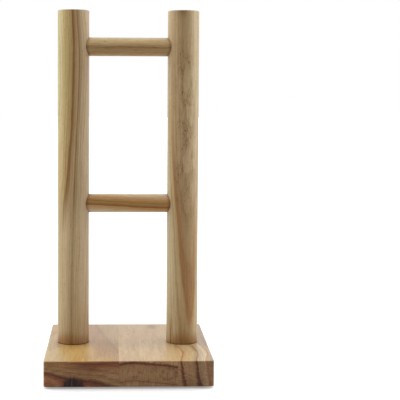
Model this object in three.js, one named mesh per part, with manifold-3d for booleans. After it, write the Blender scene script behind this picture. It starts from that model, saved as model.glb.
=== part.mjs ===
// Headphone stand: a square base glued up from three staves carries two round posts,
// and two round rungs join the posts. The upper rung carries the headband.
// Millimetres, +Z up, +X to the right, front towards -Y.
// Origin: on the resting surface, under the centre of the base.
import * as THREE from "three";
import { mergeVertices } from "three/addons/utils/BufferGeometryUtils.js";
import Module from "manifold-3d";

const wasm = await Module();
wasm.setup();

// ---- Driving dimensions ----
const BASE_WIDTH = 130; // along X
const BASE_DEPTH = 130; // along Y
const BASE_THICKNESS = 20;
const BASE_CORNER_RADIUS = 2; // upright corners
const BASE_EDGE_RADIUS = 1; // eased edge round the top and the underside
const LEFT_STAVE_WIDTH = 57.3;
const RIGHT_STAVE_WIDTH = 27.5;

const POST_DIAMETER = 25.4;
const POST_LENGTH = 270;
const POST_SPACING = 89; // between the posts' axes
const POST_TOP_RADIUS = 1.2;
const POST_FOOT_CHAMFER = 0.4;

const RUNG_DIAMETER = 15;
const RUNG_END_CHAMFER = 0.6;
const UPPER_RUNG_HEIGHT = 241; // rung axis above the base's top
const LOWER_RUNG_HEIGHT = 114;
const SOCKET_DEPTH = 12; // blind hole, measured from the post's side
const SOCKET_END_GAP = 0.3; // room for glue behind the rung's end
const SOCKET_CLEARANCE = 0.15; // radial

const PAD_DIAMETER = 12;
const PAD_THICKNESS = 1.5;
const PAD_INSET = 13; // pad centre from the base's edges
const PAD_EDGE = 0.3; // eased rim of the pad

// Countersunk wood screw, 5 x 50, driven up through the base into the post's end grain
const SCREW_LENGTH = 50;
const SCREW_HEAD_DIAMETER = 9.6;
const SCREW_HEAD_RIM = 0.4; // upright rim above the cone
const SCREW_RECESS = 1; // head below the base's underside
const SCREW_SHANK_DIAMETER = 3.8;
const SCREW_SHANK_LENGTH = 19;
const THREAD_DIAMETER = 5;
const THREAD_CORE_DIAMETER = 3.3;
const THREAD_PITCH = 2.4;
const THREAD_POINT_LENGTH = 7;
const DRIVE_WING_SPAN = 5.2; // cross recess
const DRIVE_WING_WIDTH = 1.1;
const DRIVE_DEPTH = 2.4;
const DRIVE_TAPER = 0.5; // size at the recess's floor against its mouth
const SCREW_CLEARANCE = 0.3; // all round the screw, in the base and in the post

const POST_STEPS = 80; // facets round a post
const RUNG_STEPS = 60; // facets round a rung or its socket
const PAD_STEPS = 40;
const SCREW_HOLE_STEPS = 32; // facets round a screw's head, shank and bore
const SCREW_STEPS = 16; // facets round the thread
const ARC_STEPS = 3; // facets across an eased edge

// ---- Places worked out from them ----
const BASE_BOTTOM = PAD_THICKNESS;
const BASE_TOP = BASE_BOTTOM + BASE_THICKNESS;
const POST_RADIUS = POST_DIAMETER / 2;
const POST_X = POST_SPACING / 2;
const RUNG_LENGTH = POST_SPACING - POST_DIAMETER + 2 * (SOCKET_DEPTH - SOCKET_END_GAP);
const LEFT_JOINT_X = -BASE_WIDTH / 2 + LEFT_STAVE_WIDTH;
const RIGHT_JOINT_X = BASE_WIDTH / 2 - RIGHT_STAVE_WIDTH;
const SCREW_HEAD_Z = BASE_BOTTOM + SCREW_RECESS;
const SCREW_HEAD_RADIUS = SCREW_HEAD_DIAMETER / 2;
const SHANK_RADIUS = SCREW_SHANK_DIAMETER / 2;
const SCREW_BORE_RADIUS = THREAD_DIAMETER / 2 + SCREW_CLEARANCE;

// ---- Materials ----
const wood = (color) => new THREE.MeshStandardMaterial({ color, roughness: 0.42, metalness: 0 });
const baseWood = wood(0xc09a6b);
const postWood = wood(0xb99a6a);
const rungWood = wood(0xa67f4c);
const zincSteel = new THREE.MeshStandardMaterial({ color: 0xb9bcc0, roughness: 0.35, metalness: 1 });
const padRubber = new THREE.MeshStandardMaterial({ color: 0x2b2a29, roughness: 0.9, metalness: 0 });

// ---- Solids ----
function solidOf(geometry) {
  const bare = geometry.clone();
  bare.deleteAttribute("normal");
  bare.deleteAttribute("uv");
  const merged = mergeVertices(bare, 1e-4);
  return new wasm.Manifold(
    new wasm.Mesh({
      numProp: 3,
      vertProperties: merged.attributes.position.array,
      triVerts: new Uint32Array(merged.index.array),
    }),
  );
}

function geometryOf(solid) {
  const { vertProperties, triVerts } = solid.getMesh();
  const geometry = new THREE.BufferGeometry();
  geometry.setAttribute("position", new THREE.BufferAttribute(vertProperties, 3));
  geometry.setIndex(new THREE.BufferAttribute(triVerts, 1));
  geometry.computeVertexNormals();
  return geometry;
}

// A profile of [radius, height] points turned about +Z.
function turned(profile, steps) {
  const points = profile.map(([radius, height]) => new THREE.Vector2(radius, height));
  return new THREE.LatheGeometry(points, steps).rotateX(Math.PI / 2);
}

// Quarter round from the outer side at `height - radius` in towards the top at `height`.
function quarterRound(outer, height, radius, steps = ARC_STEPS) {
  return Array.from({ length: steps + 1 }, (_, i) => {
    const angle = (i / steps) * (Math.PI / 2);
    return [outer - radius + radius * Math.cos(angle), height - radius + radius * Math.sin(angle)];
  });
}

// ---- Base ----
function baseBoard() {
  const halfWidth = BASE_WIDTH / 2 - BASE_EDGE_RADIUS;
  const halfDepth = BASE_DEPTH / 2 - BASE_EDGE_RADIUS;
  const corner = BASE_CORNER_RADIUS - BASE_EDGE_RADIUS;
  const outline = new THREE.Shape();
  outline.absarc(halfWidth - corner, halfDepth - corner, corner, 0, Math.PI / 2);
  outline.absarc(corner - halfWidth, halfDepth - corner, corner, Math.PI / 2, Math.PI);
  outline.absarc(corner - halfWidth, corner - halfDepth, corner, Math.PI, 1.5 * Math.PI);
  outline.absarc(halfWidth - corner, corner - halfDepth, corner, 1.5 * Math.PI, 2 * Math.PI);
  const board = new THREE.ExtrudeGeometry(outline, {
    depth: BASE_THICKNESS - 2 * BASE_EDGE_RADIUS,
    bevelSize: BASE_EDGE_RADIUS,
    bevelThickness: BASE_EDGE_RADIUS,
    bevelSegments: ARC_STEPS,
    curveSegments: 2 * ARC_STEPS,
  });
  return solidOf(board.translate(0, 0, BASE_EDGE_RADIUS));
}

// Hole through the base for one screw: a short counterbore, the countersink, then a plain bore.
function screwHole(x) {
  const mouth = SCREW_HEAD_RADIUS + SCREW_CLEARANCE;
  const sinkDepth = mouth - SCREW_BORE_RADIUS; // a 90 degree cone
  const profile = [
    [0, -1],
    [mouth, -1],
    [mouth, SCREW_RECESS + SCREW_HEAD_RIM],
    [SCREW_BORE_RADIUS, SCREW_RECESS + SCREW_HEAD_RIM + sinkDepth],
    [SCREW_BORE_RADIUS, BASE_THICKNESS + 1],
    [0, BASE_THICKNESS + 1],
  ];
  return solidOf(turned(profile, SCREW_HOLE_STEPS).translate(x, 0, 0));
}

function stave(name, fromX, toX) {
  const slab = new THREE.BoxGeometry(toX - fromX, 2 * BASE_DEPTH, 2 * BASE_THICKNESS);
  slab.translate((fromX + toX) / 2, 0, BASE_THICKNESS / 2);
  let solid = baseBoard().intersect(solidOf(slab));
  for (const x of [-POST_X, POST_X]) {
    if (x > fromX && x < toX) solid = solid.subtract(screwHole(x));
  }
  const mesh = new THREE.Mesh(geometryOf(solid), baseWood);
  mesh.name = name;
  return mesh;
}

// ---- Posts ----
// One post, standing on its foot, with its rung sockets towards +X.
function postGeometry() {
  const profile = [
    [0, 0],
    [POST_RADIUS - POST_FOOT_CHAMFER, 0],
    [POST_RADIUS, POST_FOOT_CHAMFER],
    ...quarterRound(POST_RADIUS, POST_LENGTH, POST_TOP_RADIUS),
    [0, POST_LENGTH],
  ];
  let solid = solidOf(turned(profile, POST_STEPS));
  const socket = new THREE.CylinderGeometry(
    RUNG_DIAMETER / 2 + SOCKET_CLEARANCE,
    RUNG_DIAMETER / 2 + SOCKET_CLEARANCE,
    2 * SOCKET_DEPTH,
    RUNG_STEPS,
  ).rotateZ(Math.PI / 2);
  for (const height of [LOWER_RUNG_HEIGHT, UPPER_RUNG_HEIGHT]) {
    solid = solid.subtract(solidOf(socket.clone().translate(POST_RADIUS, 0, height)));
  }
  return geometryOf(solid.subtract(pilotHole()));
}

// Blind hole in the post's foot that the screw's thread bites into.
function pilotHole() {
  const depth = SCREW_HEAD_Z + SCREW_LENGTH - BASE_TOP + SCREW_CLEARANCE;
  const profile = [
    [0, -1],
    [SCREW_BORE_RADIUS, -1],
    [SCREW_BORE_RADIUS, depth - SCREW_BORE_RADIUS],
    [0, depth],
  ];
  return solidOf(turned(profile, SCREW_HOLE_STEPS));
}

function post(name, x, turn) {
  const mesh = new THREE.Mesh(postGeometry(), postWood);
  mesh.name = name;
  mesh.position.x = x;
  mesh.rotation.z = turn;
  return mesh;
}

// ---- Rungs ----
function rung(name, height) {
  const radius = RUNG_DIAMETER / 2;
  const half = RUNG_LENGTH / 2;
  const profile = [
    [0, -half],
    [radius - RUNG_END_CHAMFER, -half],
    [radius, -half + RUNG_END_CHAMFER],
    [radius, half - RUNG_END_CHAMFER],
    [radius - RUNG_END_CHAMFER, half],
    [0, half],
  ];
  const mesh = new THREE.Mesh(turned(profile, RUNG_STEPS), rungWood);
  mesh.name = name;
  mesh.position.z = height;
  mesh.rotation.y = Math.PI / 2;
  return mesh;
}

// ---- Screws ----
// Modelled point up: the head's driven face is at height 0 and the point at SCREW_LENGTH.
function screwHead() {
  const coneDepth = SCREW_HEAD_RADIUS - SHANK_RADIUS; // a 90 degree cone
  const profile = [
    [0, 0],
    [SCREW_HEAD_RADIUS, 0],
    [SCREW_HEAD_RADIUS, SCREW_HEAD_RIM],
    [SHANK_RADIUS, SCREW_HEAD_RIM + coneDepth],
    [SHANK_RADIUS, SCREW_SHANK_LENGTH],
    [0, SCREW_SHANK_LENGTH],
  ];
  let solid = solidOf(turned(profile, SCREW_HOLE_STEPS));
  for (const turn of [0, Math.PI / 2]) solid = solid.subtract(driveWing(turn));
  return solid;
}

// One wing of the cross recess: a four-sided frustum, narrowing as it goes in.
function driveWing(turn) {
  const depth = 2 * DRIVE_DEPTH; // half of it stands clear of the head
  const wing = new THREE.CylinderGeometry(DRIVE_TAPER, 2 - DRIVE_TAPER, depth, 4);
  wing.rotateY(Math.PI / 4).rotateX(Math.PI / 2);
  wing.scale(DRIVE_WING_SPAN / Math.SQRT2, DRIVE_WING_WIDTH / Math.SQRT2, 1);
  return solidOf(wing.rotateZ(turn));
}

// The thread is one strip wound up a core that tapers to the point. Its rows run along the
// helix, root and crest in turn, so the end of a row is the start of the row two above it.
function threadSolid() {
  const from = SCREW_SHANK_LENGTH - THREAD_PITCH;
  const rows = 2 * Math.floor((SCREW_LENGTH - from) / THREAD_PITCH) - 2;
  const vertices = [];
  const faces = [];
  const at = (row, step) => {
    return step < SCREW_STEPS ? row * SCREW_STEPS + step : (row + 2) * SCREW_STEPS;
  };
  for (let row = 0; row <= rows; row++) {
    const isCrest = row % 2 === 1 && row > 1 && row < rows;
    for (let step = 0; step < SCREW_STEPS; step++) {
      const turn = step / SCREW_STEPS;
      const height = from + THREAD_PITCH * (row / 2 + turn);
      const taper = Math.min(1, (SCREW_LENGTH - height) / THREAD_POINT_LENGTH);
      const radius = ((isCrest ? THREAD_DIAMETER : THREAD_CORE_DIAMETER) / 2) * taper;
      const angle = 2 * Math.PI * turn;
      vertices.push(radius * Math.cos(angle), radius * Math.sin(angle), height);
    }
  }
  for (let row = 0; row < rows; row++) {
    for (let step = 0; step < SCREW_STEPS; step++) {
      const [start, next] = [at(row, step), at(row, step + 1)];
      const [above, nextAbove] = [at(row + 1, step), at(row + 1, step + 1)];
      if (next < vertices.length / 3) faces.push(start, next, above);
      if (nextAbove < vertices.length / 3) faces.push(next, nextAbove, above);
    }
  }
  // Each end closes as a fan round a point on the axis.
  const closeEnd = (loop, height) => {
    const centre = vertices.push(0, 0, height) / 3 - 1;
    loop.forEach((vertex, i) => faces.push(centre, loop[(i + 1) % loop.length], vertex));
  };
  const steps = Array.from({ length: SCREW_STEPS }, (_, step) => step);
  const topRow = steps.map((step) => at(rows, step)).reverse();
  closeEnd([...steps, at(2, 0), at(1, 0)], from);
  closeEnd([at(rows - 1, SCREW_STEPS - 1), ...topRow], SCREW_LENGTH);
  const geometry = new THREE.BufferGeometry();
  geometry.setAttribute("position", new THREE.Float32BufferAttribute(vertices, 3));
  geometry.setIndex(faces);
  return solidOf(geometry);
}

function screw(name, x) {
  const mesh = new THREE.Mesh(geometryOf(screwHead().add(threadSolid())), zincSteel);
  mesh.name = name;
  mesh.position.set(x, 0, SCREW_HEAD_Z);
  return mesh;
}

// ---- Foot pads ----
function footPad(name, sideX, sideY) {
  const radius = PAD_DIAMETER / 2;
  const profile = [
    [0, 0],
    [radius - PAD_EDGE, 0],
    [radius, PAD_EDGE],
    [radius, PAD_THICKNESS],
    [0, PAD_THICKNESS],
  ];
  const mesh = new THREE.Mesh(turned(profile, PAD_STEPS), padRubber);
  mesh.name = name;
  mesh.position.x = sideX * (BASE_WIDTH / 2 - PAD_INSET);
  mesh.position.y = sideY * (BASE_DEPTH / 2 - PAD_INSET);
  return mesh;
}

// ---- Assembly ----
const base = new THREE.Group();
base.position.z = BASE_BOTTOM;
base.add(
  stave("base_stave_left", -BASE_WIDTH / 2, LEFT_JOINT_X),
  stave("base_stave_middle", LEFT_JOINT_X, RIGHT_JOINT_X),
  stave("base_stave_right", RIGHT_JOINT_X, BASE_WIDTH / 2),
);

const ladder = new THREE.Group();
ladder.position.z = BASE_TOP;
ladder.add(
  post("post_left", -POST_X, 0),
  post("post_right", POST_X, Math.PI),
  rung("rung_lower", LOWER_RUNG_HEIGHT),
  rung("rung_upper", UPPER_RUNG_HEIGHT),
);

const fittings = new THREE.Group();
fittings.add(
  screw("post_screw_left", -POST_X),
  screw("post_screw_right", POST_X),
  footPad("foot_pad_front_left", -1, -1),
  footPad("foot_pad_front_right", 1, -1),
  footPad("foot_pad_rear_left", -1, 1),
  footPad("foot_pad_rear_right", 1, 1),
);

const stand = new THREE.Group();
stand.add(base, ladder, fittings);
export default stand;
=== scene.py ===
"""Wooden headphone stand: finished meshes and wood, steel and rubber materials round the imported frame.

Metres in the frame's own axes: +Z up, +X to the right, front towards -Y. Lengths named in
millimetres are multiplied by MM where they are used. Inside the materials all lengths are in
millimetres.
"""

import math

import bmesh
import bpy
from mathutils import Matrix, Vector


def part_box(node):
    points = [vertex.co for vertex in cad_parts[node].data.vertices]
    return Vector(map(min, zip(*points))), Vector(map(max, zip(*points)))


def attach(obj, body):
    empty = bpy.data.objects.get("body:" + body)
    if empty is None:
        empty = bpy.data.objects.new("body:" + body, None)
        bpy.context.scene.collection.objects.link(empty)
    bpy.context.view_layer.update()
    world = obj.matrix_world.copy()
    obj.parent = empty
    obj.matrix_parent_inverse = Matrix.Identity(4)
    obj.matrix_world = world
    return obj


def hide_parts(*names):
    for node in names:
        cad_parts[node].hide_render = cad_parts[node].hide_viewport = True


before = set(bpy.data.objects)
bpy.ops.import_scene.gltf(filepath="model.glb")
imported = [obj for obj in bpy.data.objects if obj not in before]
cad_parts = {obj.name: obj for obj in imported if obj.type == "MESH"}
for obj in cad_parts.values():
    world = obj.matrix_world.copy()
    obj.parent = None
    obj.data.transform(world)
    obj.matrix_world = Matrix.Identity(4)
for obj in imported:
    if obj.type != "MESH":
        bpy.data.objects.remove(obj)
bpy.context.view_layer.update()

MM = 0.001

# ---- Sizes the frame doesn't give, in millimetres ----
BOARD_EDGE = 1.0  # eased edge of the base board
BOARD_CORNER = 2.0  # its upright corners
POST_TOP_ROUND = 0.8
POST_FOOT_ROUND = 0.4
RUNG_CHAMFER = 0.6
SOCKET_CLEARANCE = 0.08
SOCKET_DEPTH = 12.0
SCREW_HOLE_RADIUS = 2.8
SCREW_MOUTH_RADIUS = 5.1
SCREW_RECESS = 1.4  # depth of the straight part of the countersunk hole
SCREW_TIP_GAP = 0.3  # from the screw's tip to the end of its hole
PAD_ROUND = 0.35

# ---- How finely the meshes are cut ----
POST_STEPS = 160
RUNG_STEPS = 112
PAD_STEPS = 72
HOLE_STEPS = 64
FLOOR_STEPS = 96
SIDE_PARTS = (0.25, 0.5, 0.75)  # where rings of points lie along a post or rung
SHARP_ANGLE = 32  # degrees; a sharper fold shows as an edge

# ---- Places from the frame ----
board_low, board_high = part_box("base_stave_left")
board_high = Vector((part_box("base_stave_right")[1].x, board_high.y, board_high.z))
LEFT_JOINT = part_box("base_stave_middle")[0].x
RIGHT_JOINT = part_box("base_stave_middle")[1].x


# ---- Mesh helpers ----
def smooth(mesh):
    """Makes the faces smooth, with a sharp edge where the mesh folds by more than SHARP_ANGLE."""
    mesh.shade_smooth()
    mesh.set_sharp_from_angle(angle=math.radians(SHARP_ANGLE))


def finish_mesh(name, bm):
    """A new object from bm, with its faces smoothed."""
    bmesh.ops.remove_doubles(bm, verts=bm.verts, dist=1e-7)
    bmesh.ops.recalc_face_normals(bm, faces=bm.faces)
    mesh = bpy.data.meshes.new(name)
    bm.to_mesh(mesh)
    bm.free()
    smooth(mesh)
    piece = bpy.data.objects.new(name, mesh)
    bpy.context.scene.collection.objects.link(piece)
    return piece


def arc(centre, radius, start, end, steps):
    """Points of an arc in a profile, from one angle in degrees to another."""
    for i in range(steps + 1):
        angle = math.radians(start + (end - start) * i / steps)
        yield (centre[0] + radius * math.cos(angle), centre[1] + radius * math.sin(angle))


def turned(name, profile, steps, placing):
    """A closed solid of revolution. The profile's (radius, height) points are in metres and start
    and end on the axis; placing is the matrix from the turning axis +Z to the frame."""
    bm = bmesh.new()
    rings = []
    for radius, height in profile:
        if radius < 1e-9:
            rings.append([bm.verts.new(placing @ Vector((0, 0, height)))])
            continue
        angles = (2 * math.pi * i / steps for i in range(steps))
        points = (Vector((radius * math.cos(t), radius * math.sin(t), height)) for t in angles)
        rings.append([bm.verts.new(placing @ point) for point in points])
    for lower, upper in zip(rings, rings[1:]):
        for i in range(steps):
            j = (i + 1) % steps
            corners = [
                lower[i % len(lower)],
                lower[j % len(lower)],
                upper[j % len(upper)],
                upper[i % len(upper)],
            ]
            corners = list(dict.fromkeys(corners))
            if len(corners) > 2:
                bm.faces.new(corners)
    return finish_mesh(name, bm)


def cut(piece, cutters):
    """Takes the cutters' solids out of the piece, for good."""
    for cutter in cutters:
        modifier = piece.modifiers.new("cut", "BOOLEAN")
        modifier.operation = "DIFFERENCE"
        modifier.solver = "EXACT"
        modifier.object = cutter
        graph = bpy.context.evaluated_depsgraph_get()
        mesh = bpy.data.meshes.new_from_object(piece.evaluated_get(graph))
        piece.modifiers.clear()
        old, piece.data = piece.data, mesh
        bpy.data.meshes.remove(old)
        mesh.name = piece.name
        bpy.data.objects.remove(cutter)
    smooth(piece.data)


def place(piece, node):
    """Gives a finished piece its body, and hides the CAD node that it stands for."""
    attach(piece, "root")
    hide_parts(node)


# ---- Meshes ----
def make_post(name):
    """A post with rounded ends, bored for the two rungs and for its screw."""
    low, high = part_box(name.removesuffix("_wood"))
    centre = (low + high) / 2
    radius = (high.x - low.x) / 2
    length = high.z - low.z
    top, foot = POST_TOP_ROUND * MM, POST_FOOT_ROUND * MM
    profile = [
        (0, 0),
        *arc((radius - foot, foot), foot, -90, 0, 3),
        *((radius, length * part) for part in SIDE_PARTS),
        *arc((radius - top, length - top), top, 0, 90, 8),
        (radius * 0.5, length),
        (0, length),
    ]
    post = turned(name, profile, POST_STEPS, Matrix.Translation((centre.x, centre.y, low.z)))
    inward = -1 if centre.x > 0 else 1
    cutters = []
    for rung in ("rung_lower", "rung_upper"):
        rung_low, rung_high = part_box(rung)
        hole = (rung_high.z - rung_low.z) / 2 + SOCKET_CLEARANCE * MM
        start = centre.x + inward * (radius - SOCKET_DEPTH * MM)
        along_x = Matrix.Rotation(inward * math.pi / 2, 4, "Y")
        spot = Matrix.Translation((start, centre.y, (rung_low.z + rung_high.z) / 2))
        profile = [(0, 0), (hole, 0), (hole, 2 * radius), (0, 2 * radius)]
        cutters.append(turned("socket", profile, RUNG_STEPS, spot @ along_x))
    cutters.append(screw_bore(centre.x, low.z))
    cut(post, cutters)
    return post


def screw_bore(x, foot):
    """The screw's blind hole up into a post. Both screws end at the same height."""
    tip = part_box("post_screw_left")[1].z + SCREW_TIP_GAP * MM
    radius = SCREW_HOLE_RADIUS * MM
    profile = [(0, -MM), (radius, -MM), (radius, tip - foot - radius), (0, tip - foot)]
    return turned("bore", profile, HOLE_STEPS, Matrix.Translation((x, 0, foot)))


def screw_hole(x):
    """The screw's countersunk way through the base."""
    mouth, bore = SCREW_MOUTH_RADIUS * MM, SCREW_HOLE_RADIUS * MM
    recess, thickness = SCREW_RECESS * MM, board_high.z - board_low.z
    profile = [
        (0, -MM),
        (mouth, -MM),
        (mouth, recess),
        (bore, recess + mouth - bore),
        (bore, thickness + MM),
        (0, thickness + MM),
    ]
    return turned("hole", profile, HOLE_STEPS, Matrix.Translation((x, 0, board_low.z)))


def board():
    """The whole base board as a bmesh, with rounded corners and eased edges."""
    bm = bmesh.new()
    corner = BOARD_CORNER * MM
    centre = (board_low + board_high) / 2
    half = (board_high - board_low) / 2
    outline = []
    for quarter, (side_x, side_y) in enumerate(((1, 1), (-1, 1), (-1, -1), (1, -1))):
        middle = (centre.x + side_x * (half.x - corner), centre.y + side_y * (half.y - corner))
        outline += arc(middle, corner, quarter * 90, quarter * 90 + 90, 8)
    floor = bm.faces.new([bm.verts.new((x, y, board_low.z)) for x, y in outline])
    lifted = bmesh.ops.extrude_face_region(bm, geom=[floor])["geom"]
    top = [v for v in lifted if isinstance(v, bmesh.types.BMVert)]
    bmesh.ops.translate(bm, verts=top, vec=(0, 0, 2 * half.z))
    rims = [e for e in bm.edges if abs(e.verts[0].co.z - e.verts[1].co.z) < 1e-9]
    bmesh.ops.bevel(bm, geom=rims, offset=BOARD_EDGE * MM, segments=6, profile=0.5, affect="EDGES")
    return bm


def make_stave(name, from_x, to_x):
    """The part of the board between two upright planes, with its screw hole if one falls in it."""
    bm = board()
    for x, side in ((from_x, -1), (to_x, 1)):
        if board_low.x < x < board_high.x:
            sliced = bmesh.ops.bisect_plane(
                bm,
                geom=[*bm.verts, *bm.edges, *bm.faces],
                plane_co=(x, 0, 0),
                plane_no=(side, 0, 0),
                clear_outer=True,
            )
            edges = [e for e in sliced["geom_cut"] if isinstance(e, bmesh.types.BMEdge)]
            bmesh.ops.contextual_create(bm, geom=edges)
    stave = finish_mesh(name, bm)
    for screw in ("post_screw_left", "post_screw_right"):
        low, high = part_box(screw)
        x = (low.x + high.x) / 2
        if from_x < x < to_x:
            cut(stave, [screw_hole(x)])
    return stave


def make_rung(name):
    """A rung with chamfered ends."""
    low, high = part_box(name.removesuffix("_wood"))
    radius = (high.z - low.z) / 2
    length, chamfer = high.x - low.x, RUNG_CHAMFER * MM
    profile = [
        (0, 0),
        (radius - chamfer, 0),
        (radius, chamfer),
        *((radius, length * part) for part in SIDE_PARTS),
        (radius, length - chamfer),
        (radius - chamfer, length),
        (0, length),
    ]
    along_x = Matrix.Rotation(math.pi / 2, 4, "Y")
    spot = Matrix.Translation((low.x, (low.y + high.y) / 2, (low.z + high.z) / 2))
    return turned(name, profile, RUNG_STEPS, spot @ along_x)


def make_pad(name):
    """A flat round pad with a rounded lower rim."""
    low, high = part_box(name.removesuffix("_rubber"))
    radius, height, rim = (high.x - low.x) / 2, high.z - low.z, PAD_ROUND * MM
    profile = [
        (0, 0),
        (radius * 0.6, 0),
        *arc((radius - rim, rim), rim, -90, 0, 5),
        (radius, height),
        (0, height),
    ]
    centre = Matrix.Translation(((low.x + high.x) / 2, (low.y + high.y) / 2, low.z))
    return turned(name, profile, PAD_STEPS, centre)


# ---- Shader helpers ----
def colour(hex_code):
    """A linear colour from its usual six-digit code."""
    parts = (int(hex_code[i : i + 2], 16) / 255 for i in (0, 2, 4))
    linear = [p / 12.92 if p <= 0.04045 else ((p + 0.055) / 1.055) ** 2.4 for p in parts]
    return (*linear, 1.0)


class Value:
    """A number in a shader, so that formulas can be written with it."""

    def __init__(self, shader, socket):
        self.shader, self.socket = shader, socket

    def __add__(self, other):
        return self.shader.math("ADD", self, other)

    def __sub__(self, other):
        return self.shader.math("SUBTRACT", self, other)

    def __rsub__(self, other):
        return self.shader.math("SUBTRACT", other, self)

    def __mul__(self, other):
        return self.shader.math("MULTIPLY", self, other)

    def __truediv__(self, other):
        return self.shader.math("DIVIDE", self, other)

    def apply(self, operation, *others):
        return self.shader.math(operation, self, *others)

    def rise(self, start, end):
        """0 below start, 1 above end, smooth between. start may be above end."""
        return self.shader.map_range(self, start, end, 0.0, 1.0)

    def line(self, width, fade=None):
        """1 where this is 0, falling to 0 at a distance of width below it and of fade above it."""
        fade = width if fade is None else fade
        return self.rise(-width, 0.0) * self.rise(fade, 0.0)


class Shader:
    """One material with its nodes."""

    def __init__(self, name):
        self.material = bpy.data.materials.new(name)
        self.material.use_nodes = True
        self.tree = self.material.node_tree
        self.surface = self.tree.nodes["Principled BSDF"]
        self.coordinates = self.tree.nodes.new("ShaderNodeTexCoord")
        self.across_x, self.across_y, self.across_z = self.split(
            self.coordinates.outputs["Object"], 1 / MM
        )

    def put(self, socket, value):
        if isinstance(value, Value):
            value = value.socket
        if isinstance(value, bpy.types.NodeSocket):
            self.tree.links.new(value, socket)
        else:
            socket.default_value = value

    def node(self, kind, inputs, **settings):
        node = self.tree.nodes.new("ShaderNode" + kind)
        for name, setting in settings.items():
            setattr(node, name, setting)
        for name, value in inputs.items():
            self.put(node.inputs[name], value)
        return node

    def math(self, operation, *values):
        node = self.node("Math", dict(enumerate(values)), operation=operation)
        return Value(self, node.outputs[0])

    def map_range(self, value, start, end, low, high, kind="SMOOTHSTEP"):
        inputs = {"Value": value, "From Min": start, "From Max": end, "To Min": low, "To Max": high}
        node = self.node("MapRange", inputs, interpolation_type=kind)
        return Value(self, node.outputs["Result"])

    def split(self, vector, scale=1.0):
        node = self.node("SeparateXYZ", {"Vector": vector})
        return [Value(self, node.outputs[axis]) * scale for axis in "XYZ"]

    def vector(self, x, y, z):
        return self.node("CombineXYZ", {"X": x, "Y": y, "Z": z}).outputs["Vector"]

    def noise(self, vector, detail=2.0, roughness=0.5):
        inputs = {"Vector": vector, "Scale": 1.0, "Detail": detail, "Roughness": roughness}
        return Value(self, self.node("TexNoise", inputs).outputs["Fac"])

    def ramp(self, value, stops, kind):
        """A colour that follows value, through a few (value, colour) stops in rising order."""
        low, high = stops[0][0], stops[-1][0]
        node = self.node("ValToRGB", {"Fac": self.map_range(value, low, high, 0, 1, "LINEAR")})
        node.color_ramp.interpolation = kind
        elements = node.color_ramp.elements
        while len(elements) < len(stops):
            elements.new(1.0)
        for element, (at, shade) in zip(elements, stops):
            element.position = (at - low) / (high - low)
            element.color = shade
        return node.outputs["Color"]

    def curve(self, value, points):
        """A smooth curve through a few (value, result) points, given in rising order."""
        least = min(result for _, result in points)
        most = max(result for _, result in points)
        stops = [(at, [(result - least) / (most - least)] * 3 + [1]) for at, result in points]
        return Value(self, self.ramp(value, stops, "CARDINAL")) * (most - least) + least

    def shades(self, value, stops):
        """The same as ramp, with the colours as hex codes."""
        return self.ramp(value, [(at, colour(code)) for at, code in stops], "EASE")

    def mix(self, factor, first, second, blend="MIX"):
        """Two colours mixed. A Mix node keeps its colours in inputs 6 and 7, and output 2."""
        node = self.node("Mix", {}, data_type="RGBA", blend_type=blend)
        self.put(node.inputs[0], factor)
        self.put(node.inputs[6], first)
        self.put(node.inputs[7], second)
        return node.outputs[2]

    def tint(self, base, factor, code):
        """base multiplied by a colour, by a share of factor."""
        return self.mix(factor, base, colour(code), "MULTIPLY")


# ---- Camera and light ----
FLOOR_RADIUS = 12.0  # metres


def make_camera():
    """The camera fitted to the photo's view of the stand: its place, lens and shift."""
    camera = bpy.data.objects.new("camera", bpy.data.cameras.new("camera"))
    bpy.context.scene.collection.objects.link(camera)
    camera.data.sensor_width = 36.0
    camera.data.lens = 92.96
    camera.data.shift_x = 0.1434
    camera.data.shift_y = -0.1159
    camera.data.clip_start = 0.05
    camera.data.clip_end = 50
    yaw, pitch, roll = math.radians(1.831), math.radians(3.0), math.radians(0.243)
    camera.location = (-0.0151, -0.8402, 0.2200)
    look = Matrix.Rotation(-yaw, 3, "Z") @ Matrix.Rotation(math.pi / 2 - pitch, 3, "X")
    camera.rotation_euler = (look @ Matrix.Rotation(roll, 3, "Z")).to_euler()
    bpy.context.scene.camera = camera


def make_world():
    """A pale studio all round: bright above, behind and at the sides, dimmer in front."""
    world = bpy.data.worlds.new("studio")
    bpy.context.scene.world = world
    world.use_nodes = True
    tree = world.node_tree
    background = tree.nodes["Background"]
    where = tree.nodes.new("ShaderNodeTexCoord")
    split = tree.nodes.new("ShaderNodeSeparateXYZ")
    tree.links.new(where.outputs["Generated"], split.inputs[0])
    level = tree.nodes.new("ShaderNodeMapRange")
    level.interpolation_type = "SMOOTHSTEP"
    for name, value in {"From Min": -0.8, "From Max": 0.4, "To Min": 0.28, "To Max": 1.1}.items():
        level.inputs[name].default_value = value
    tree.links.new(split.outputs["Y"], level.inputs["Value"])
    seen = tree.nodes.new("ShaderNodeLightPath")
    # The camera sees plain white. A Mix node keeps its numbers in inputs 2 and 3, and output 0.
    strength = tree.nodes.new("ShaderNodeMix")
    tree.links.new(seen.outputs["Is Camera Ray"], strength.inputs[0])
    tree.links.new(level.outputs["Result"], strength.inputs[2])
    strength.inputs[3].default_value = 1.0
    tree.links.new(strength.outputs[0], background.inputs["Strength"])
    background.inputs["Color"].default_value = (1, 1, 1, 1)


def make_softbox(name, location, target, size, power):
    """A soft rectangular light, aimed at target. size is (width, height) in metres, power in watts."""
    light = bpy.data.objects.new(name, bpy.data.lights.new(name, "AREA"))
    bpy.context.scene.collection.objects.link(light)
    light.data.shape = "RECTANGLE"
    light.data.size, light.data.size_y = size
    light.data.energy = power
    light.location = location
    aim = Vector(target) - Vector(location)
    light.rotation_euler = aim.to_track_quat("-Z", "Y").to_euler()


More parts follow.
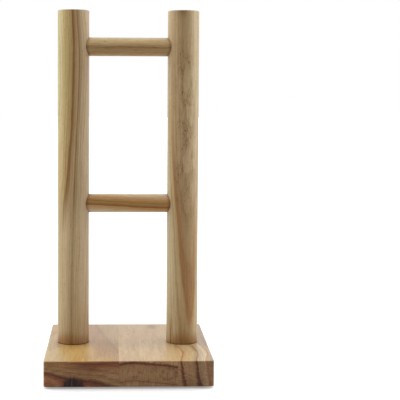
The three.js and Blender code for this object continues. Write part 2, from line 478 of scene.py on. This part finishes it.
def make_floor():
    """A pale floor. To the camera it also glows, more with distance, until it is white."""
    bm = bmesh.new()
    bmesh.ops.create_circle(bm, cap_ends=True, segments=FLOOR_STEPS, radius=FLOOR_RADIUS)
    floor = finish_mesh("floor", bm)
    shader = Shader("floor")
    x, y = shader.across_x, shader.across_y
    grain = shader.noise(shader.vector(x / 40, y / 40, 0.0))
    seen = Value(shader, shader.tree.nodes.new("ShaderNodeLightPath").outputs["Is Camera Ray"])
    grey = seen * 0.15 + 0.7
    shader.put(shader.surface.inputs["Base Color"], shader.vector(grey, grey, grey))
    shader.put(shader.surface.inputs["Roughness"], grain * 0.1 + 0.75)
    shader.put(shader.surface.inputs["Specular IOR Level"], 0.1)
    distance = (x * x + y * y).apply("SQRT")
    glow = shader.map_range(distance, 150.0, 900.0, 0.3, 1.0)
    shader.put(shader.surface.inputs["Emission Color"], (1, 1, 1, 1))
    shader.put(shader.surface.inputs["Emission Strength"], glow * seen)
    floor.data.materials.append(shader.material)


make_camera()
make_world()
make_softbox("overhead", (0, 0.15, 1.5), (0, 0, 0.1), (1.4, 1.4), 7)
make_softbox("left_box", (-0.9, 0.15, 0.45), (0, 0, 0.15), (0.6, 1.0), 4.2)
make_softbox("right_box", (0.9, 0.15, 0.45), (0, 0, 0.15), (0.6, 1.0), 3.8)
make_softbox("front_top", (0, -1.1, 1.3), (0, 0, 0.15), (1.0, 0.5), 2.5)
make_floor()


# ---- Wood ----
def centre_of(node):
    """The middle of a node's box, in millimetres."""
    low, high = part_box(node)
    return (low + high) / 2 / MM


POST_LEFT = centre_of("post_left")
POST_RIGHT = centre_of("post_right")
RUNG_LOWER = centre_of("rung_lower")
RUNG_UPPER = centre_of("rung_upper")
POST_RADIUS = (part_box("post_left")[1].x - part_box("post_left")[0].x) / 2 / MM
RUNG_RADIUS = (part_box("rung_lower")[1].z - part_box("rung_lower")[0].z) / 2 / MM
BOARD_FOOT = board_low.z / MM
BOARD_TOP = board_high.z / MM
BOARD_FRONT = board_low.y / MM
BOARD_THICKNESS = BOARD_TOP - BOARD_FOOT

ROUND_COAT = 0.1  # weight of the lacquer on the posts and rungs
BOARD_COAT = 0.3  # and on the base
LACQUER_ROUGHNESS = 0.18
GLUE_AND_SHADE = "8a6440"  # tint of the glue between the staves, and of the glue with painted contact shade round the posts' feet
SOCKET_GLUE_AND_SHADE = "94703e"  # and of glue with painted shade round the rungs' ends


class Wood(Shader):
    """Lacquered wood. Everything is drawn in solid space, in millimetres from the piece's own centre,
    so rings and fibres run through a piece and meet at its edges. The fibre runs along one axis."""

    def __init__(self, name, fibre, centre, seed):
        super().__init__(name)
        self.x = self.across_x - centre[0]
        self.y = self.across_y - centre[1]
        self.z = self.across_z - centre[2]
        axes = {"X": (self.y, self.z, self.x), "Y": (self.x, self.z, self.y), "Z": (self.x, self.y, self.z)}
        self.first, self.second, self.along = axes[fibre]
        self.seed = seed
        self.warp = self.grain(9, 80) - 0.5
        self.wobble = self.grain(2.2, 9) - 0.5
        facing = self.split(self.coordinates.outputs["Normal"])["XYZ".index(fibre)]
        self.end_grain = facing.apply("ABSOLUTE").rise(0.45, 0.9)
        self.long_grain = 1 - self.end_grain

    def grain(self, width, length, detail=2.0):
        """Noise in grains of this width across the fibre and this length along it."""
        self.seed += 3.7
        first, second = self.first / width + self.seed, self.second / width
        return self.noise(self.vector(first, second, self.along / length - self.seed), detail, 0.55)

    def rings(self, distance, width):
        """Fine growth rings: each darkens slowly across its width, then stops short."""
        turn = (distance + self.warp * 2.5 + self.wobble * 0.5) / width
        ring = turn.apply("FLOOR")
        part = turn - ring
        chance = self.node("TexWhiteNoise", {"W": ring + self.seed}, noise_dimensions="1D")
        strength = Value(self, chance.outputs["Value"]) * 0.7 + 0.3
        return part.rise(0.25, 0.88) * part.rise(1.0, 0.9) * strength

    def finish(self, shade, rings, coat, end_shade="cbb49c"):
        """Adds rings, fibres, pores and end grain to the wood's main shade, and the lacquer on top.
        coat is the lacquer's weight, and end_shade the tint of the end grain."""
        streak = self.grain(0.6, 28, detail=4.0)
        fibres = self.grain(0.17, 8)
        pores = self.grain(0.32, 3.2, detail=1.0).rise(0.63, 0.74)
        shade = self.tint(shade, rings * 0.34, "b08a5c")
        shade = self.tint(shade, streak.rise(0.6, 0.3) * 0.3, "c3a06c")
        shade = self.tint(shade, fibres.rise(0.6, 0.32) * 0.2, "c0a070")
        shade = self.tint(shade, pores * 0.45, "94703e")
        speckle = self.grain(0.7, 60, detail=3.0)
        shade = self.tint(shade, speckle.rise(0.42, 0.68) * self.end_grain * 0.3, "a58a68")
        shade = self.tint(shade, self.end_grain, end_shade)
        surface = self.surface
        self.put(surface.inputs["Base Color"], shade)
        self.put(surface.inputs["Roughness"], fibres * 0.16 + 0.36 + pores * 0.12)
        height = streak * 0.5 + fibres * 0.35 - pores * 0.6
        bump = self.node("Bump", {"Height": height, "Strength": 0.35, "Distance": 0.06 * MM})
        self.put(surface.inputs["Normal"], bump.outputs["Normal"])
        self.put(surface.inputs["Specular IOR Level"], 0.2)
        self.put(surface.inputs["Coat Weight"], coat)
        self.put(surface.inputs["Coat Roughness"], LACQUER_ROUGHNESS)
        return self.material

    @staticmethod
    def distance(*offsets):
        """The length of a vector, from its two or three parts."""
        total = offsets[0] * offsets[0]
        for offset in offsets[1:]:
            total = total + offset * offset
        return total.apply("SQRT")


def finish_post(wood, shade, rings, inward):
    """What both posts share: a warm foot, which is painted bounce light from the base, a dark line at
    the foot, which is glue with painted contact shade, and glue with painted shade round the two rungs.
    inward is 1 or -1, the side of the post that the rungs are on."""
    height = wood.z + (POST_LEFT.z - BOARD_TOP)
    # Painted bounce light: the lowest part of the post is warmed as if lit by light reflected off the base.
    shade = wood.tint(shade, (height + wood.warp * 9).rise(12, 1) * 0.6, "d09a5c")
    # Glue with painted contact shade: a dark line where the post stands on the base.
    shade = wood.tint(shade, height.rise(0.9, 0.1) * 0.6, "6a4526")
    inner = (wood.x * inward).rise(POST_RADIUS * 0.5, POST_RADIUS * 0.7)
    for rung in (RUNG_LOWER, RUNG_UPPER):
        # Glue with painted shade: a darker ring on the post round each rung's socket.
        gap = wood.distance(wood.y, wood.z + (POST_LEFT.z - rung.z)) - RUNG_RADIUS
        shade = wood.tint(shade, gap.rise(1.2, 0.1) * inner * 0.3, SOCKET_GLUE_AND_SHADE)
    return wood.finish(shade, rings, ROUND_COAT)


def left_post_wood():
    """Quarter-sawn: a brown streak between two dark rings that lean to the left going down."""
    wood = Wood("left_post_wood", "Z", POST_LEFT, 1.0)
    across = wood.x + wood.warp * 1.2 + wood.wobble * 0.5
    right_ring = wood.curve(
        wood.z,
        [(-135, -0.9), (-75, -0.3), (-10, 1.3), (40, 3.4), (100, 5.3), (135, 3.4)],
    )
    left_ring = wood.curve(
        wood.z,
        [(-135, -11), (-45, -9.5), (-12, -6.2), (28, -2.5), (55, -0.9), (110, 0), (135, -0.9)],
    )
    between = (across - left_ring) / (right_ring - left_ring)
    shade = wood.shades(
        between,
        [
            (-2.4, "cabc86"),
            (-0.9, "c3ad78"),
            (-0.14, "b69b68"),
            (0.04, "8c6940"),
            (0.22, "957248"),
            (0.5, "b4946a"),
            (0.78, "b69c74"),
            (0.95, "957a50"),
            (1.1, "a68e66"),
            (1.4, "bca682"),
            (2.4, "c6b090"),
            (3.6, "cab69e"),
        ],
    )
    low = wood.shades(
        between,
        [
            (-0.2, "bcaa80"),
            (0.4, "ccb68e"),
            (0.78, "bea882"),
            (0.94, "ac946a"),
            (1.02, "b29a70"),
            (1.16, "c2ac84"),
            (2, "ceba9a"),
        ],
    )
    shade = wood.mix(wood.z.rise(-5, -50), shade, low)
    return finish_post(wood, shade, wood.rings(across - right_ring, 1.9), 1)


def right_post_wood():
    """Flat-sawn: a brown tongue of older wood, flecked above, that runs out to a point near the foot."""
    wood = Wood("right_post_wood", "Z", POST_RIGHT, 2.0)
    turn = math.radians(24)
    outward = wood.x * math.sin(turn) - wood.y * math.cos(turn)
    sideways = wood.x * math.cos(turn) + wood.y * math.sin(turn)
    edge = wood.curve(
        wood.z,
        [
            (-135, 13.4),
            (-114, 12.5),
            (-91, 11.5),
            (-67, 10.3),
            (-27, 8.1),
            (22, 4.1),
            (70, 2.8),
            (135, 2.3),
        ],
    )
    inside = outward - edge + wood.warp * 1.5 + wood.wobble * 0.3
    shade = wood.shades(
        inside,
        [
            (-8, "d8caa6"),
            (-0.5, "c4ac7e"),
            (0.2, "ac8254"),
            (1.2, "ac865a"),
            (3.5, "b49a70"),
            (7, "c6b08c"),
            (11, "d0c4a6"),
        ],
    )
    pale = wood.shades(inside + wood.grain(5, 30) * 3, [(-4, "d2c29c"), (3, "cdb58c"), (9, "ccb890")])
    shade = wood.mix(wood.z.rise(-10, 80) * 0.75, shade, pale)
    shade = wood.mix(sideways.rise(4.5, 8.5) * 0.7, shade, colour("c9b48c"))
    front = outward.rise(0, 6)
    core = (sideways + 5 + wood.warp * 4).line(9) * front
    shade = wood.tint(shade, core * (wood.z.rise(-60, 60) * 0.25 + 0.35), "d7c5b5")
    streak = (sideways + 6 + wood.warp * 4).line(7) * front
    shade = wood.tint(shade, streak * wood.z.rise(40, 110) * 0.3, "b89868")
    clusters = wood.grain(3.6, 14).rise(0.42, 0.6) * (sideways + 3.5 + wood.warp * 6).line(11)
    clusters = clusters * front * wood.z.rise(-50, 15) * wood.z.rise(118, 92)
    flecks = wood.grain(0.9, 3.0, detail=3.0).rise(0.5, 0.64) * clusters
    shade = wood.tint(shade, clusters * 0.35, "c4a478")
    shade = wood.tint(shade, flecks * 0.7, "94744c")
    shade = wood.tint(shade, streak * wood.z.rise(126, 135) * 0.5, "a08050")
    foot_line = (wood.x + 9.4 + wood.warp).line(0.9) * wood.z.rise(-108, -128)
    shade = wood.tint(shade, foot_line * 0.75, "b0763e")
    return finish_post(wood, shade, wood.rings(inside, 2.3), -1)


def finish_rung(wood, shade, rings):
    """What both rungs share: they darken where they enter the posts, a glue stain with painted shade."""
    for side in (-1, 1):
        # Glue stain with painted shade: the rung darkens within a few millimetres of each post.
        gap = wood.distance(wood.x - side * POST_RIGHT.x, wood.y) - POST_RADIUS
        shade = wood.tint(shade, gap.rise(2.6, 0.0) * 0.55, "a07444")
    return wood.finish(shade, rings, ROUND_COAT)


def upper_rung_wood():
    """A dark ring runs along the middle of the front, with pale wood over it and brown below."""
    wood = Wood("upper_rung_wood", "X", RUNG_UPPER, 3.0)
    waves = wood.grain(4, 16) - 0.5
    height = wood.z + waves * 3 + wood.wobble * 1.2 + 0.7 + wood.y * 0.05
    shade = wood.shades(
        height,
        [
            (-7, "b79c74"),
            (-4.4, "a88a5e"),
            (-2.2, "a68a5e"),
            (-1.2, "a08458"),
            (-0.3, "90704a"),
            (0.7, "b09466"),
            (2.0, "c2a474"),
            (3.6, "cfb686"),
            (7.5, "cfba90"),
        ],
    )
    fleck = ((wood.x + 19.3) / 1.4).line(1) * ((wood.z - 4.0) / 0.6).line(1) * wood.y.rise(0, -1)
    shade = wood.tint(shade, fleck * 0.8, "6e4a28")
    return finish_rung(wood, shade, wood.rings(height, 1.3))


def lower_rung_wood():
    """Orange-brown, with a reddish ring that sinks from left to right."""
    wood = Wood("lower_rung_wood", "X", RUNG_LOWER, 4.0)
    line = wood.curve(wood.x, [(-44, 0.6), (-34, 0.3), (0, -1.7), (30, -2.9), (44, -3.0)])
    height = wood.z - line + wood.warp * 1.2 + wood.wobble * 1.4
    shade = wood.shades(
        height,
        [
            (-6, "d8c8ac"),
            (-1.2, "bc925e"),
            (-0.2, "8e5c32"),
            (0.8, "9a743e"),
            (2.0, "ac864e"),
            (3.0, "9e7640"),
            (4.2, "ba9056"),
            (6.0, "c29c68"),
            (9.5, "dcc4a2"),
        ],
    )
    return finish_rung(wood, shade, wood.rings(height, 1.5))


def finish_stave(wood, shade, rings, rays, end_shade):
    """What the staves share: fine rays across the end grain, glue with painted contact shade round the
    posts' feet, hairline glue joints, and painted shade that darkens the top and sides a little to the
    back. rays is how far they run along X and Z, and end_shade the tint of the end grain."""
    streaks = wood.noise(wood.vector(wood.x / rays[0], 0.0, wood.z / rays[1]), 3.0, 0.6)
    shade = wood.tint(shade, streaks.rise(0.38, 0.62) * wood.end_grain * 0.5, "b89c7c")
    # Painted shade: the top and sides darken a little towards the back.
    shade = wood.tint(shade, wood.y.rise(-35, 45) * wood.long_grain * 0.75, "ccc4b6")
    # Glue with painted contact shade: a dark ring on the top of the base round each post's foot.
    for post in (POST_LEFT, POST_RIGHT):
        gap = wood.distance(wood.x - post.x, wood.y) - POST_RADIUS
        top = wood.z.rise(BOARD_THICKNESS - 2, BOARD_THICKNESS - 0.5)
        shade = wood.tint(shade, gap.rise(1.1, 0.1) * top * 0.6, GLUE_AND_SHADE)
    for joint in (LEFT_JOINT, RIGHT_JOINT):
        shade = wood.tint(shade, (wood.x - joint / MM).line(0.14) * 0.5, GLUE_AND_SHADE)
    return wood.finish(shade, rings, BOARD_COAT, end_shade)


def left_stave_wood():
    """A dark ring sweeps down the front into a black knot. The top is yellow at the left and turns
    brown towards the joint."""
    wood = Wood("left_stave_wood", "Y", (0, 0, BOARD_FOOT), 5.0)
    back = wood.y - BOARD_FRONT
    sweep = wood.curve(
        wood.x,
        [(-65, 11), (-56, 8.9), (-48, 6.7), (-36, 5), (-28, 4.2), (-17, 1.3), (-7, -3)],
    )
    roof = wood.curve(
        wood.x,
        [(-65, 21.5), (-54, 20.8), (-36, 19.6), (-25, 19.2), (-11, 18.3), (-7, 18)],
    )
    sweep = sweep + back * 0.03 - wood.warp * 1.5
    roof = roof + back * 0.03 + wood.warp
    between = (wood.z + wood.wobble * 1.8 - sweep) / (roof - sweep)
    front = wood.shades(
        between,
        [
            (-1.2, "a68e68"),
            (-0.75, "b08a62"),
            (-0.4, "d0a278"),
            (-0.12, "a06a48"),
            (0.0, "6e4428"),
            (0.09, "a07a4c"),
            (0.2, "c4ac84"),
            (0.34, "b6996e"),
            (0.46, "c6b088"),
            (0.62, "b89a6c"),
            (0.74, "c2a474"),
            (0.9, "a06840"),
            (1.02, "8e5c38"),
            (1.14, "a87a50"),
            (1.5, "bc966a"),
        ],
    )
    front = wood.tint(front, (wood.x + 30).line(22) * between.rise(0.2, 0.85) * 0.85, "c49478")
    front = wood.tint(front, wood.x.rise(-14, -32) * between.rise(0.95, 0.7) * 0.45, "dcc8a6")
    flame = wood.x + 14 + wood.y * 0.19 + wood.wobble * 1.5 + wood.warp * 3
    top = wood.shades(
        flame,
        [
            (-52, "c2a878"),
            (-34, "c6a262"),
            (-24, "c4a268"),
            (-15, "b18b54"),
            (-5, "b08a5a"),
            (-0.5, "a88254"),
            (0.8, "b6966a"),
            (6, "b99c6e"),
            (18, "baa078"),
        ],
    )
    shade = wood.mix(wood.z.rise(BOARD_THICKNESS - 2, BOARD_THICKNESS - 0.2), front, top)
    threads = wood.noise(wood.vector(wood.x / 0.9, wood.y / 9, wood.z / 12), 2.0, 0.6)
    reach = wood.distance((wood.x + 42.8) / 7.4, wood.z / 6.4, back / 26) + threads * 0.9 - 0.45
    shade = wood.tint(shade, reach.rise(1.6, 1.1) * 0.6, "b88258")
    shade = wood.tint(shade, reach.rise(1.2, 0.9) * threads.rise(0.68, 0.57) * 0.94, "26160e")
    return finish_stave(wood, shade, wood.rings(between * 16, 2.1), (8, 0.9), "e6d2c0")


def middle_stave_wood():
    """Flat rings: one dark one close under the top, with pale, faintly waved wood over it."""
    wood = Wood("middle_stave_wood", "Y", (0, 0, BOARD_FOOT), 6.0)
    back = wood.y - BOARD_FRONT
    ring = wood.curve(wood.x, [(-10, 16.8), (1.6, 18.7), (10, 18.2), (22, 17.1), (30, 16.3), (38, 15.2)])
    depth = wood.z - ring + wood.wobble * 1.6 + back * 0.006
    shade = wood.shades(
        depth,
        [
            (-18, "c4b08e"),
            (-14.6, "baa07c"),
            (-13.8, "966e4c"),
            (-13.0, "b89c74"),
            (-9, "bca27a"),
            (-2, "b2966e"),
            (-1.1, "9c744a"),
            (-0.1, "663a20"),
            (0.7, "94663c"),
            (1.4, "c8ac84"),
            (5, "c8ad80"),
        ],
    )
    waves = wood.grain(4.5, 22)
    shade = wood.tint(shade, waves.rise(0.5, 0.66) * wood.long_grain * 0.2, "d2b896")
    shade = wood.tint(shade, waves.rise(0.56, 0.62) * wood.end_grain * 0.35, "a8785a")
    spot = wood.distance((wood.x - 21.8) / 6, (wood.y - 54) / 12) + waves * 0.8
    shade = wood.tint(shade, spot.rise(1.5, 0.7) * 0.5, "b88e6e")
    hook = wood.distance((wood.x - 30) / 6, (wood.z - 10) / 4) + wood.wobble * 1.2
    shade = wood.tint(shade, (hook - 1).line(0.3) * (wood.x - wood.z).rise(10, 22) * 0.5, "94704a")
    return finish_stave(wood, shade, wood.rings(depth, 2.0) * 0.6, (0.9, 7), "ead6c4")


def right_stave_wood():
    """Nearly upright rings: two dark ones and an orange one cross the front and run back."""
    wood = Wood("right_stave_wood", "Y", (0, 0, BOARD_FOOT), 7.0)
    depth = BOARD_THICKNESS - wood.z
    bow = wood.curve(wood.y, [(-65, 0), (-55, 1.2), (-40, 3), (-29, 2), (-15, -0.5), (20, -5), (65, -8)])
    across = wood.x - depth * 0.16 - bow + wood.warp + wood.wobble * (depth * 0.2 + 1.6)
    shade = wood.shades(
        across,
        [
            (36, "d0b284"),
            (43, "ccb084"),
            (47, "ccb48a"),
            (50.5, "b89c70"),
            (53, "bca67e"),
            (57.5, "d2c0a0"),
            (59.3, "b88e60"),
            (60.4, "bca27e"),
            (65, "a8967a"),
            (74, "c2a478"),
        ],
    )
    shade = wood.tint(shade, (across - 44).line(6) * depth.rise(7, 20) * wood.end_grain * 0.4, "a08c7c")
    patch = wood.distance((wood.x - 36.5) / 3.5, (wood.y + 19) / 9) + wood.wobble
    shade = wood.tint(shade, patch.rise(1.4, 0.5) * wood.long_grain * 0.5, "c08a5c")
    fade = wood.y.rise(5, -30) * 0.8 + 0.12
    for ring in (39.9, 51.5):
        line = ((across - ring) / (depth * 0.07 + 1.1)).line(1.4, 0.8) * fade
        shade = wood.tint(shade, line * 0.8, "ba7c46")
        shade = wood.tint(shade, line * wood.end_grain * 0.9, "a87868")
    return finish_stave(wood, shade, wood.rings(across, 1.5), (5, 0.9), "d6c2b2")


# ---- Rubber and steel ----
def pad_rubber():
    """Black rubber with a fine moulded grain, greyed by dust towards its underside."""
    shader = Shader("pad_rubber")
    x, y, z = shader.across_x, shader.across_y, shader.across_z
    grain = shader.noise(shader.vector(x / 0.25, y / 0.25, z / 0.25), 3.0, 0.6)
    dust = shader.noise(shader.vector(x / 3, y / 3, z / 3), 4.0, 0.65).rise(0.45, 0.7)
    dust = dust * z.rise(1.5, 0.3)
    shade = shader.mix(dust * 0.6, colour("1c1b1a"), colour("4a4640"))
    shader.put(shader.surface.inputs["Base Color"], shade)
    shader.put(shader.surface.inputs["Roughness"], grain * 0.2 + 0.62 + dust * 0.15)
    bump = shader.node("Bump", {"Height": grain, "Strength": 0.5, "Distance": 0.05 * MM})
    shader.put(shader.surface.inputs["Normal"], bump.outputs["Normal"])
    return shader.material


def zinc_steel():
    """Zinc-plated steel: bright and faintly clouded, with fine marks from thread rolling."""
    shader = Shader("zinc_steel")
    x, y, z = shader.across_x, shader.across_y, shader.across_z
    clouds = shader.noise(shader.vector(x / 1.4, y / 1.4, z / 1.4), 3.0, 0.6)
    marks = shader.noise(shader.vector(x / 0.6, y / 0.6, z / 0.06), 3.0, 0.6)
    shade = shader.mix(clouds.rise(0.35, 0.65), colour("b9bcbd"), colour("9c9a90"))
    shader.put(shader.surface.inputs["Base Color"], shade)
    shader.put(shader.surface.inputs["Metallic"], 1.0)
    shader.put(shader.surface.inputs["Roughness"], clouds * 0.25 + marks * 0.1 + 0.18)
    bump = shader.node("Bump", {"Height": marks, "Strength": 0.25, "Distance": 0.03 * MM})
    shader.put(shader.surface.inputs["Normal"], bump.outputs["Normal"])
    return shader.material


# ---- Pieces ----
WOODS = {
    "post_left": left_post_wood,
    "post_right": right_post_wood,
    "rung_upper": upper_rung_wood,
    "rung_lower": lower_rung_wood,
    "base_stave_left": left_stave_wood,
    "base_stave_middle": middle_stave_wood,
    "base_stave_right": right_stave_wood,
}
STAVE_SIDES = {
    "base_stave_left": (board_low.x, LEFT_JOINT),
    "base_stave_middle": (LEFT_JOINT, RIGHT_JOINT),
    "base_stave_right": (RIGHT_JOINT, board_high.x),
}
for node, make_wood in WOODS.items():
    piece_name = f"{node}_wood"
    kind = node.split("_")[0]
    if kind == "base":
        piece = make_stave(piece_name, *STAVE_SIDES[node])
    else:
        piece = {"post": make_post, "rung": make_rung}[kind](piece_name)
    piece.data.materials.append(make_wood())
    place(piece, node)

rubber = pad_rubber()
for corner in ("front_left", "front_right", "rear_left", "rear_right"):
    pad = make_pad(f"foot_pad_{corner}_rubber")
    pad.data.materials.append(rubber)
    place(pad, f"foot_pad_{corner}")

steel = zinc_steel()
for screw in ("post_screw_left", "post_screw_right"):
    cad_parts[screw].material_slots[0].material = steel

bpy.context.scene.view_settings.view_transform = "Standard"
